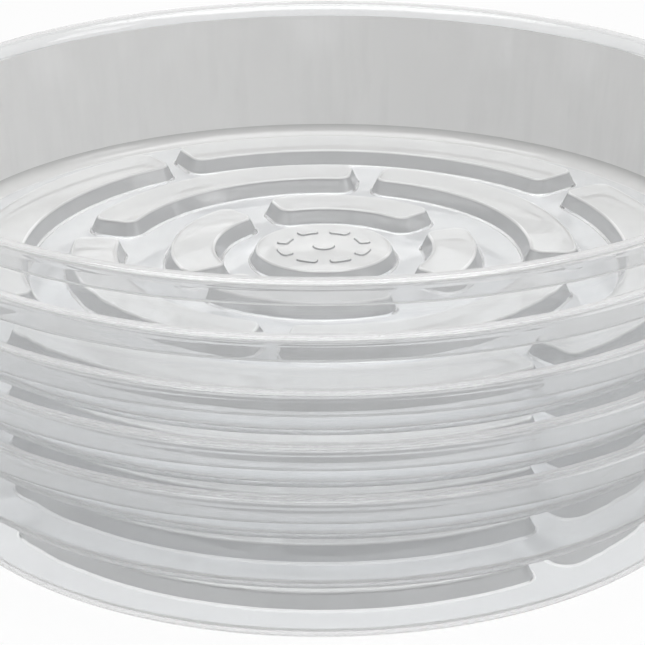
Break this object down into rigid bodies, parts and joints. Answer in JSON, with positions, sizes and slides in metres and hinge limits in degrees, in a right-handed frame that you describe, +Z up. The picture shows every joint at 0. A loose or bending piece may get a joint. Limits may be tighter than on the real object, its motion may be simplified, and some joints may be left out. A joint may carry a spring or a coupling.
{
  "type": "plant saucer",
  "caption": "Nested stack of round clear plastic plant saucers with leaning walls, turned-down lips and raised arc ribs on each floor.",
  "frame": {"origin": "centre of the lowest saucer's underside, on the surface that the stack stands on", "axes": "+Z up along the stack's axis; +Y to the back and +X to the right as seen in the picture"},
  "size_m": [0.255, 0.255, 0.1005],
  "materials": {
    "clear_plastic": "clear, colourless, glossy formed sheet"
  },
  "bodies": {
    "saucer_1": {"saucer_1": "clear_plastic"},
    "saucer_2": {"saucer_2": "clear_plastic"},
    "saucer_3": {"saucer_3": "clear_plastic"},
    "saucer_4": {"saucer_4": "clear_plastic"},
    "saucer_5": {"saucer_5": "clear_plastic"}
  },
  "joints": [
    {"name": "lift_saucer_2", "type": "slide", "parent": "saucer_1", "child": "saucer_2", "axis": [0, 0, 1], "range_m": [0, 0.045]},
    {"name": "lift_saucer_3", "type": "slide", "parent": "saucer_2", "child": "saucer_3", "axis": [0, 0, 1], "range_m": [0, 0.045]},
    {"name": "lift_saucer_4", "type": "slide", "parent": "saucer_3", "child": "saucer_4", "axis": [0, 0, 1], "range_m": [0, 0.045]},
    {"name": "lift_saucer_5", "type": "slide", "parent": "saucer_4", "child": "saucer_5", "axis": [0, 0, 1], "range_m": [0, 0.045]}
  ]
}
